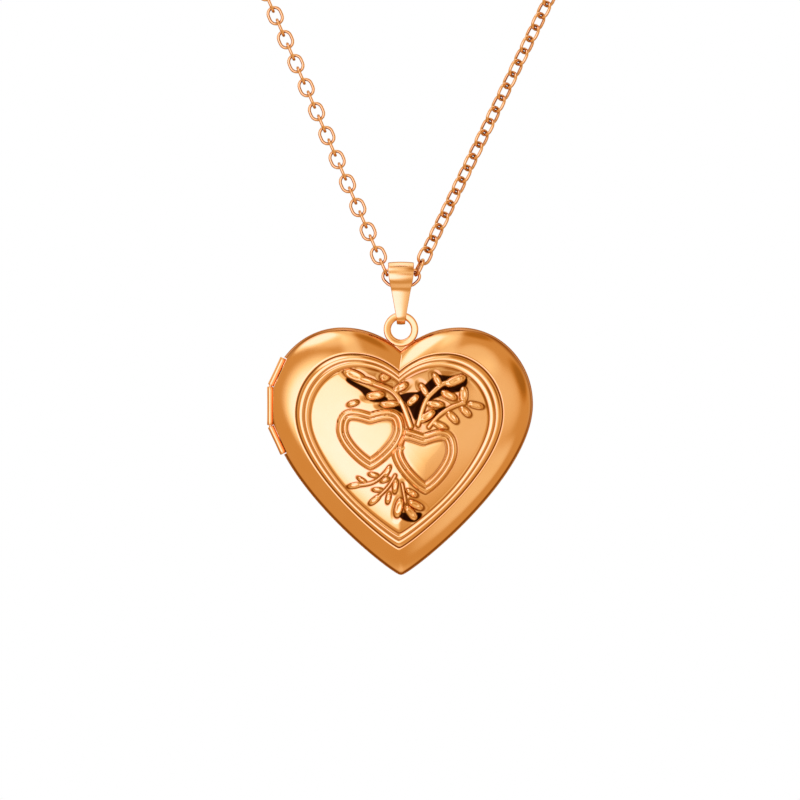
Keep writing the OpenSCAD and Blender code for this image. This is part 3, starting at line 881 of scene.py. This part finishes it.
def pin_path():
    """The bent pin's middle line in the XZ plane, from the low end to the high end."""
    reach = PIN_BEND_R * math.tan(math.radians(KNUCKLE_LEAN / 2))
    tail = KNUCKLE_LEN + KNUCKLE_GAP - reach
    lean = math.radians(KNUCKLE_LEAN)
    t = np.linspace(0, lean, 7)
    upper = np.c_[PIN_BEND_R * (1 - np.cos(t)), HINGE_TOP_Z - reach + PIN_BEND_R * np.sin(t)]
    end = upper[-1] + tail * np.array([math.sin(lean), math.cos(lean)])
    upper = np.vstack([upper, end])
    lower = upper.copy()
    lower[:, 1] = HINGE_TOP_Z + HINGE_BOTTOM_Z - lower[:, 1]
    line = np.vstack([lower[::-1], upper])
    return np.insert(line + [HINGE_X, 0], 1, 0, axis=1) + PENDANT


def tangents(path):
    along = np.gradient(path, axis=0)
    return along / np.linalg.norm(along, axis=1)[:, None]


pin_line = pin_path()
pin_frames = [(np.array([0, 1.0, 0]), np.cross(t, [0, 1.0, 0])) for t in tangents(pin_line)]
make_piece("bent_hinge_pin", sweep(pin_line, circle(PIN_D / 2, 24), pin_frames), INNER_GOLD,
           "locket_back", "hinge_pin", sharp=40)


# ---- Hanging loop ----
def flat_ring(radius, wire_across, wire_deep, count, around, power, dish=0):
    """A ring about Y whose section is a flattened round; its front face may be dished."""
    a = np.linspace(0, 2 * math.pi, around, endpoint=False)
    c, s = np.cos(a), np.sin(a)
    section = np.c_[wire_across / 2 * np.sign(c) * np.abs(c) ** (2 / power),
                    wire_deep / 2 * np.sign(s) * np.abs(s) ** (2 / power)]
    t = np.linspace(0, 2 * math.pi, count, endpoint=False)
    path = np.c_[radius * np.cos(t), np.zeros(count), radius * np.sin(t)]
    frames = [(np.array([math.cos(k), 0, math.sin(k)]), np.array([0, 1.0, 0])) for k in t]
    section[:, 1] -= np.where(section[:, 1] < 0, dish, 0) * section[:, 0]
    return sweep(path, section, frames, closed=True)


ring_points, ring_faces = flat_ring(LOOP_R, LOOP_WIRE, 0.62, 128, 36, 3.6, 0.11)
# The front of the tail fills the cleft below the ring, turned a little to the right
TAB = [(-0.86, -0.33, 6.62), (0.86, -0.14, 6.62), (0.0, -0.24, 5.83)]
tab_points = np.array(TAB + [(x, PARTING - 0.005, z) for x, _, z in TAB]) + PENDANT
TAB_FACES = [(0, 2, 1), (3, 4, 5), (0, 1, 4, 3), (1, 2, 5, 4), (2, 0, 3, 5)]
for name, shape in (("hanging_ring", (ring_points + [0, 0, LOOP_Z] + PENDANT, ring_faces)),
                    ("hanging_ring_tail", tail_body(0)),
                    ("hanging_ring_tab", (tab_points, TAB_FACES))):
    make_piece(name, shape, GOLD, "locket_back", "hanging_loop")


# ---- Bail ----
def bail_path():
    """Middle line of the strip's side view as (y, z), with the outward direction at each stop."""
    half = BAIL_SHEET / 2
    leg = BAIL_BEND_R + BAIL_SHEET
    corner_y = leg + BAIL_CORNER_R
    drop = math.sqrt((BAIL_ROLL_R + BAIL_CORNER_R) ** 2 - corner_y ** 2)
    lean = math.atan2(drop, corner_y)
    corner_z = BAIL_ROLL_Z - drop

    def arc(y, z, radius, start, end, count, facing=1):
        angles = np.linspace(start, end, count)
        return [(y + radius * math.cos(a), z + radius * math.sin(a),
                 facing * math.cos(a), facing * math.sin(a)) for a in angles]

    roll = arc(0, BAIL_ROLL_Z, BAIL_ROLL_R - half, -lean, math.pi + lean, 85)
    far_corner = arc(-corner_y, corner_z, BAIL_CORNER_R + half, lean, 0, 9, -1)
    bend = arc(0, LOOP_BAR_Z, leg - half, math.pi, 2 * math.pi, 33)
    near_corner = arc(corner_y, corner_z, BAIL_CORNER_R + half, math.pi, math.pi - lean, 9, -1)

    def leg_stops(p, q):
        return [tuple(np.array(p) + (np.array(q) - np.array(p)) * t)
                for t in np.linspace(0, 1, 20)[1:-1]]

    return np.array(roll + far_corner[1:] + leg_stops(far_corner[-1], bend[0]) + bend
                    + leg_stops(bend[-1], near_corner[0]) + near_corner[:-1])


def strip_section(half, thick, crown, ease):
    """Rounded strip: a crowned outer face and eased edges."""
    low, side = -thick / 2, thick / 2 - crown * 0.4

    def corner(turn, z, angles):
        return [(turn * (half - ease) + ease * math.cos(a), z + ease * math.sin(a))
                for a in np.radians(angles)]

    return np.array(
        [((half - ease) * t, side + crown * (1 - t * t)) for t in np.linspace(-1, 1, 15)]
        + corner(1, side - ease, np.linspace(90, 0, 6)[1:])
        + corner(1, low + ease, np.linspace(0, -90, 5))
        + [((half - ease) * t, low) for t in (0.6, 0.2, -0.2, -0.6)]
        + corner(-1, low + ease, np.linspace(270, 180, 5))
        + corner(-1, side - ease, np.linspace(180, 90, 6)[:-1]))


def bail():
    """The strip, wide over the roll and narrow at the bend, as in the table of half widths."""
    halves, heights = np.array(BAIL_HALF)[::-1].T
    fine = np.linspace(8.0, 16.0, 400)
    smooth = soften(np.interp(fine, heights, halves), 41, "edge")
    sections, stops, frames = [], [], []
    for y, z, out_y, out_z in bail_path():
        half = float(np.interp(z, fine, smooth))
        sections.append(strip_section(half, BAIL_SHEET, 0.07 * min(1, half), 0.09))
        stops.append((0, y, z))
        frames.append((np.array([1.0, 0, 0]), np.array([0, out_y, out_z])))
    points, faces = sweep(np.array(stops), np.array(sections), frames, closed=True)
    return points + PENDANT, faces


make_piece("tapered_bail", bail(), BAIL_GOLD, "bail", "bail")


# ---- Chain ----
LINK_AROUND = 14
UP = np.array([0, 0, 1.0])


def link_body():
    """One oval link, flat in XY, its length along X."""
    bend = (LINK_WIDTH - WIRE_D) / 2
    straight = PITCH + WIRE_D + SLACK - 2 * bend
    stops, frames = [], []
    for turn, centre in ((0, straight / 2), (180, -straight / 2)):
        for t in np.radians(np.linspace(-90, 90, 11) + turn):
            out = np.array([math.cos(t), math.sin(t), 0])
            stops.append(np.array([centre, 0, 0]) + bend * out)
            frames.append((out, UP))
    return sweep(np.array(stops), circle(WIRE_D / 2, LINK_AROUND), frames, closed=True)


LINK_POINTS, LINK_FACES = link_body()
# For each point of a link, 1 on the outer side of its wire and -1 on the inner side
LINK_SIDE = np.tile(circle(1, LINK_AROUND)[:, 0], len(LINK_POINTS) // LINK_AROUND)
# Painted shade of each link point: dark where the next link's wire passes, brown on the inner side
# of the wire
TOUCH = np.linalg.norm(np.abs(LINK_POINTS) - [PITCH / 2, 0, 0], axis=1)
LINK_SHADE = np.maximum(0.75 * (1 - smoothstep(0.16, 0.45, TOUCH)),
                        0.4 * smoothstep(0.35, 0.95, -LINK_SIDE))


def make_chain(name, links, body, node):
    """Links as one piece, with painted shade where they touch each other and on the inner side of
    each wire.
    """
    obj = make_piece(name, merge(links), CHAIN_GOLD, body, node)
    set_painted_shade(obj, np.tile(LINK_SHADE, len(links)))


def place_link(a, b, roll):
    """A link between two stops, rolled about its length."""
    d = (b - a) / np.linalg.norm(b - a)
    turn = (rot("z", math.degrees(math.atan2(d[1], d[0])))
            @ rot("y", -math.degrees(math.asin(np.clip(d[2], -1, 1)))) @ rot("x", roll))
    return (a + b) / 2 + LINK_POINTS @ turn.T, LINK_FACES


# Where each leaning strand starts, sideways and up from the heart's middle
STRAND_X, STRAND_Z = 1.02, 12.9


def strand_x(lean, z):
    return STRAND_X + (z - STRAND_Z) * math.tan(math.radians(lean))


def route():
    """Heights and stops of the chain, by the same rules as the CAD source."""
    slope = (math.tan(math.radians(LEFT_LEAN)) + math.tan(math.radians(RIGHT_LEAN))) / 2
    low_half = PITCH / 2 - LOW_TUCK
    gap = STRAND_X - STRAND_Z * slope - low_half + LOW_LINK_Z * slope
    a, b, c = 1 + slope ** 2, 2 * gap * slope, gap ** 2 - (PITCH - SIDE_TUCK) ** 2
    start_z = LOW_LINK_Z + (-b + math.sqrt(b * b - 4 * a * c)) / (2 * a)
    low = PENDANT + np.array([0, 0, LOW_LINK_Z])
    out = {"low": low, "low_half": np.array([low_half, 0, 0])}
    for side, lean, turn in (("left", LEFT_LEAN, -1), ("right", RIGHT_LEAN, 1)):
        out[side] = tuple(PENDANT + np.array([turn * strand_x(lean, z), 0, z])
                          for z in (start_z, NECK_Z))
    return out


def odd_count(length):
    """An odd count of links that fills a length."""
    return 2 * math.ceil((length / PITCH - 1) / 2) + 1


def straight_stops(a, b):
    n = odd_count(np.linalg.norm(b - a))
    return [a + (b - a) * k / n for k in range(n + 1)]


def curve_stops(p, slices=160):
    t = np.arange(slices + 1) / slices
    on_curve = cubic(p, t)
    lengths = np.r_[0, np.cumsum(np.linalg.norm(np.diff(on_curve, axis=0), axis=1))]
    n = odd_count(lengths[-1])
    return list(cubic(p, np.interp(np.arange(n + 1) * lengths[-1] / n, lengths, t)))


def back_curve(start, lean, turn):
    """Control points of the chain's way from the side of the neck to the clasp."""
    lead = 26 * np.array([turn * math.sin(math.radians(lean)), 0, math.cos(math.radians(lean))])
    return np.array([start, start + lead, NAPE + [turn * 38, -3, 0],
                     NAPE + [turn * CLASP_HALF_SPAN, 0, 0]])


# The right strand is twisted by this angle over its first links
RIGHT_TWIST = 45
ROUTE = route()
middle_links = [(ROUTE["low"] + LINK_POINTS, LINK_FACES),
                place_link(ROUTE["low"] - ROUTE["low_half"], ROUTE["left"][0], 90),
                place_link(ROUTE["low"] + ROUTE["low_half"], ROUTE["right"][0], 90)]
make_chain("chain_middle_links", middle_links, "bail", "chain_links_in_bail")
for side, lean, turn in (("left", LEFT_LEAN, -1), ("right", RIGHT_LEAN, 1)):
    twist = RIGHT_TWIST if side == "right" else 0
    start, neck = ROUTE[side]
    stops = straight_stops(start, neck)
    links = []
    for k in range(len(stops) - 1):
        links.append(place_link(stops[k], stops[k + 1], 90 * k + twist * min(1, (k + 1) / 3)))
    make_chain(f"chain_strand_front_{side}", links, "front_chain", f"chain_front_{side}")
    stops = curve_stops(back_curve(neck, lean, turn))
    n = len(stops) - 1
    links = [place_link(stops[k], stops[k + 1], 90 + (90 + twist / n) * (n - 1 - k))
             for k in range(n)]
    make_chain(f"chain_strand_back_{side}", links, "neck_chain", f"chain_back_{side}")


# ---- Clasp ----
CLASP = NAPE + np.array([CLASP_X, 0, 0])


def clasp_place(points):
    """From the clasp's own plane (x right, y up, z towards the front) to the frame."""
    points = np.asarray(points, float)
    return np.c_[points[:, 0], -points[:, 2], points[:, 1]] + CLASP


def bent_bar(section, degrees):
    """A section bent round the clasp's middle, or one section for each angle in degrees."""
    angles = np.radians(degrees)
    path = CLASP_R * np.c_[np.cos(angles), np.sin(angles), np.zeros(len(angles))]
    return sweep(path, np.array(section), [(p / CLASP_R, UP) for p in path])


def rounded_bar(diameter, span, steps, ease):
    """A round bar whose two ends are eased."""
    radius, angle = diameter / 2, math.degrees(ease / CLASP_R)
    low, high = span
    ends = [0, 0.35 * angle, angle]
    degrees = ([low + a for a in ends] + list(np.linspace(low + angle, high - angle, steps)[1:-1])
               + [high - a for a in ends[::-1]])
    eased = [radius - ease, radius - ease * 0.25, radius]
    radii = eased + [radius] * (steps - 2) + eased[::-1]
    return bent_bar([circle(r, 32) for r in radii], degrees)


tube_points, tube_faces = rounded_bar(CLASP_TUBE_D, (MOUTH[1], 360 + MOUTH[0]), 110, 0.05)
tube = make_piece("bolt_ring_tube", (clasp_place(tube_points), tube_faces), GOLD, "neck_chain",
                  "clasp_tube", sharp=40)
bore_section = circle(CLASP_BORE_D / 2, 28)
bore = bent_bar(bore_section, np.linspace(BORE_SPAN[0] - 4, BORE_SPAN[1], 71))
socket = bent_bar(bore_section, np.linspace(SOCKET_SPAN[0], SOCKET_SPAN[1] + 4, 11))
slot = bent_bar([[0, -0.27], [1.0, -0.27], [1.0, 0.27], [0, 0.27]], np.linspace(*SLOT, 31))
cut(tube, [(clasp_place(points), faces) for points, faces in (bore, socket, slot)], 40)

bolt_points, bolt_faces = rounded_bar(BOLT_D, BOLT_SPAN, 44, 0.08)
make_piece("bolt_sliding", (clasp_place(bolt_points), bolt_faces), INNER_GOLD, "clasp_bolt",
           "clasp_bolt", sharp=40)


def thumb_stud():
    """A small turned button with a round top, standing outwards from the bolt."""
    base = CLASP_R + BOLT_D / 2 + 0.005
    outline = [(0.0, 0.0), (0.17, 0.0), (0.17, 0.12), (0.13, 0.2), (0.13, 0.42), (0.19, 0.5),
               (0.2, 0.58), (0.185, 0.66), (0.14, 0.72), (0.07, 0.748), (0.0, 0.75)]
    b = Builder()
    rings = [b.add(np.insert(circle(r, 28), 0, base + h, axis=1)) for r, h in outline[1:-1]]
    b.skin(rings)
    b.cap(rings[0], [base, 0, 0], flip=True)
    b.cap(rings[-1], [base + outline[-1][1], 0, 0])
    return b.all_points() @ rot("z", STUD_ANGLE).T, b.faces


stud_points, stud_faces = thumb_stud()
make_piece("bolt_thumb_button", (clasp_place(stud_points), stud_faces), GOLD, "clasp_bolt",
           "clasp_thumb_stud", sharp=40)


def coil(turns, wire, radius, per_turn):
    """The spring's coil bent round the clasp, from end to end of its room."""
    t = np.linspace(0, 1, turns * per_turn + 1)
    angle = np.radians(SPRING_SPAN[0] + (SPRING_SPAN[1] - SPRING_SPAN[0]) * t)
    phase = 2 * math.pi * turns * t
    middle = CLASP_R * np.c_[np.cos(angle), np.sin(angle), np.zeros(len(t))]
    path = middle * (1 + radius / CLASP_R * np.cos(phase))[:, None] + np.outer(
        radius * np.sin(phase), UP)
    frames = []
    for p, m, along in zip(path, middle, tangents(path)):
        out = (p - m) - along * ((p - m) @ along)
        out /= np.linalg.norm(out)
        frames.append((out, np.cross(along, out)))
    return sweep(path, circle(wire / 2, 10), frames)


spring_points, spring_faces = coil(9, 0.09, 0.24, 18)
make_piece("bolt_coil_spring", (clasp_place(spring_points), spring_faces), STEEL, "neck_chain",
           "clasp_spring")

eye_x = -(CLASP_R + CLASP_TUBE_D / 2 + EYE_R + EYE_WIRE / 2 + 0.02)
jump_x = eye_x - EYE_R + (EYE_WIRE + JUMP_WIRE) / 2 + RING_SLACK - JUMP_R
end_x = CLASP_R - (CLASP_TUBE_D + END_WIRE) / 2 - RING_SLACK + END_R


def wire_ring(radius, wire, x, across):
    """A round wire ring in the clasp's plane, or square across it."""
    points, faces = flat_ring(radius, wire, wire, 72, 20, 2.0)
    points = points if across else points[:, [0, 2, 1]]
    return clasp_place(points + [x, 0, 0]), faces


make_piece("clasp_soldered_eye", wire_ring(EYE_R, EYE_WIRE, eye_x, False), GOLD, "neck_chain",
           "clasp_eye")
make_piece("clasp_link_ring", wire_ring(JUMP_R, JUMP_WIRE, jump_x, True), CHAIN_GOLD,
           "neck_chain", "clasp_jump_ring")
make_piece("far_end_ring", wire_ring(END_R, END_WIRE, end_x, True), CHAIN_GOLD, "neck_chain",
           "chain_end_ring")


# ---- Studio: pale floor far below, soft sky of light with dark flags ----
def toward(azimuth, elevation):
    """Direction at an azimuth to the right of the front, and an elevation."""
    a, e = math.radians(azimuth), math.radians(elevation)
    return (math.sin(a) * math.cos(e), -math.cos(a) * math.cos(e), math.sin(e))


# Each row: azimuth, elevation, inner and outer reach in degrees, brightness added
SOFT_BOXES = [
    (-20, 2, 13, 34, 1.28), (22, 2, 8, 28, 0.36), (16, 27, 5, 16, 0.42), (-47, 57, 9, 22, 1.3),
    (42, -27, 4, 15, 0.42), (-6, -20, 8, 18, 0.25), (-22, 52, 6, 18, 0.5), (180, 65, 10, 30, 2.4),
    (110, 10, 15, 40, 0.5), (-110, 25, 15, 40, 0.6), (145, 15, 10, 32, 1.4),
    (-142, 12, 10, 32, 1.4), (0, -88, 15, 40, 0.35),
]
# Each row: azimuth, elevation, inner and outer reach in degrees, share of the light taken
FLAGS = [
    (7, 17, 4, 12, 0.45), (36, 62, 6, 15, 0.5), (56, 18, 6, 18, 0.55), (0, 89, 3, 8, 0.97),
]


BASE_LIGHT = 0.45
# Brightness added by a narrow strip right above, and where its sides start and end to fade
STRIP_GAIN = 0.45
STRIP_HALF = (0.04, 0.13)
# Share of the light taken behind the locket
BEHIND_SHARE = 0.55
BRIGHTEST = 1.76
# Light's tint at each brightness: dim corners glow amber, the soft boxes are cool white
WARMTH = [
    (0.25, (1.9, 1.0, 0.18)), (0.50, (1.40, 1.0, 0.48)), (0.66, (1.27, 1.0, 0.64)),
    (0.84, (1.10, 1.0, 0.78)), (1.00, (1.04, 1.0, 0.80)), (1.20, (1.0, 1.0, 0.88)),
    (1.45, (1.0, 1.0, 1.15)), (1.60, (1.0, 1.0, 1.35)), (BRIGHTEST, (1.0, 1.0, 1.6)),
]


def add_sky():
    world = bpy.data.worlds.new("studio")
    world.use_nodes = True
    bpy.context.scene.world = world
    n = Nodes(world.node_tree)
    direction = n.add("ShaderNodeTexCoord").outputs["Generated"]

    def spot(azimuth, elevation, inner, outer):
        lined_up = n.add("ShaderNodeVectorMath", {0: direction, 1: toward(azimuth, elevation)},
                         operation="DOT_PRODUCT").outputs["Value"]
        return n.remap(lined_up, math.cos(math.radians(outer)), math.cos(math.radians(inner)),
                       smooth=True)

    sideways, depth, upward = n.add("ShaderNodeSeparateXYZ", {0: direction}).outputs
    strip = n.remap(n.math("ABSOLUTE", sideways), *STRIP_HALF, STRIP_GAIN, 0.0, smooth=True)
    light = n.math("MULTIPLY_ADD", strip, n.remap(upward, 0.3, 0.5, smooth=True), BASE_LIGHT)
    for azimuth, elevation, inner, outer, gain in SOFT_BOXES:
        light = n.math("MULTIPLY_ADD", spot(azimuth, elevation, inner, outer), gain, light)
    for azimuth, elevation, inner, outer, share in FLAGS:
        light = n.math("MULTIPLY", light,
                       n.math("MULTIPLY_ADD", spot(azimuth, elevation, inner, outer), -share, 1.0))
    behind = n.remap(depth, 0.0, 0.2, smooth=True)
    light = n.math("MULTIPLY", light, n.math("MULTIPLY_ADD", behind, -BEHIND_SHARE, 1.0))
    light = n.math("MINIMUM", light, BRIGHTEST)
    ramp = n.add("ShaderNodeValToRGB", {"Fac": n.math("MULTIPLY", light, 0.5)})
    steps = ramp.color_ramp.elements
    for step, (brightness, tint) in zip((steps[0], steps[1]), (WARMTH[0], WARMTH[-1])):
        step.position, step.color = brightness / 2, (*tint, 1)
    for brightness, tint in WARMTH[1:-1]:
        steps.new(brightness / 2).color = (*tint, 1)
    studio = n.add("ShaderNodeBackground", {"Color": ramp.outputs["Color"], "Strength": light})
    backdrop = n.add("ShaderNodeBackground", {"Color": (1, 1, 1, 1), "Strength": 1.0})
    seen = n.add("ShaderNodeLightPath").outputs["Is Camera Ray"]
    both = n.add("ShaderNodeMixShader", {0: seen, 1: studio.outputs[0], 2: backdrop.outputs[0]})
    n.add("ShaderNodeOutputWorld", {"Surface": both.outputs[0]})


def add_floor():
    """A plain pale floor, wide and low enough to stay out of the front camera's view."""
    material, n, where = new_material("studio_floor")
    grain = n.noise(where, 40.0, 4.0)
    shader = n.add("ShaderNodeBsdfPrincipled",
                   {"Base Color": n.mix(grain, (0.74, 0.88, 0.96, 1), (0.77, 0.91, 1.0, 1)),
                    "Roughness": 0.9, "Emission Color": (0.72, 0.76, 1.0, 1),
                    "Emission Strength": 0.38})
    n.add("ShaderNodeOutputMaterial", {"Surface": shader.outputs["BSDF"]})
    half, drop = 2000.0, 260.0
    z = PENDANT[2] - drop
    corners = [(-half, -half, z), (half, -half, z), (half, half, z), (-half, half, z)]
    mesh = bpy.data.meshes.new("studio_floor")
    mesh.from_pydata((np.array(corners) * MM).tolist(), [], [(0, 1, 2, 3)])
    floor = add_object("studio_floor", mesh)
    floor.data.materials.append(material)
    floor.visible_glossy = False


add_sky()
add_floor()
bpy.context.scene.view_settings.view_transform = "Standard"
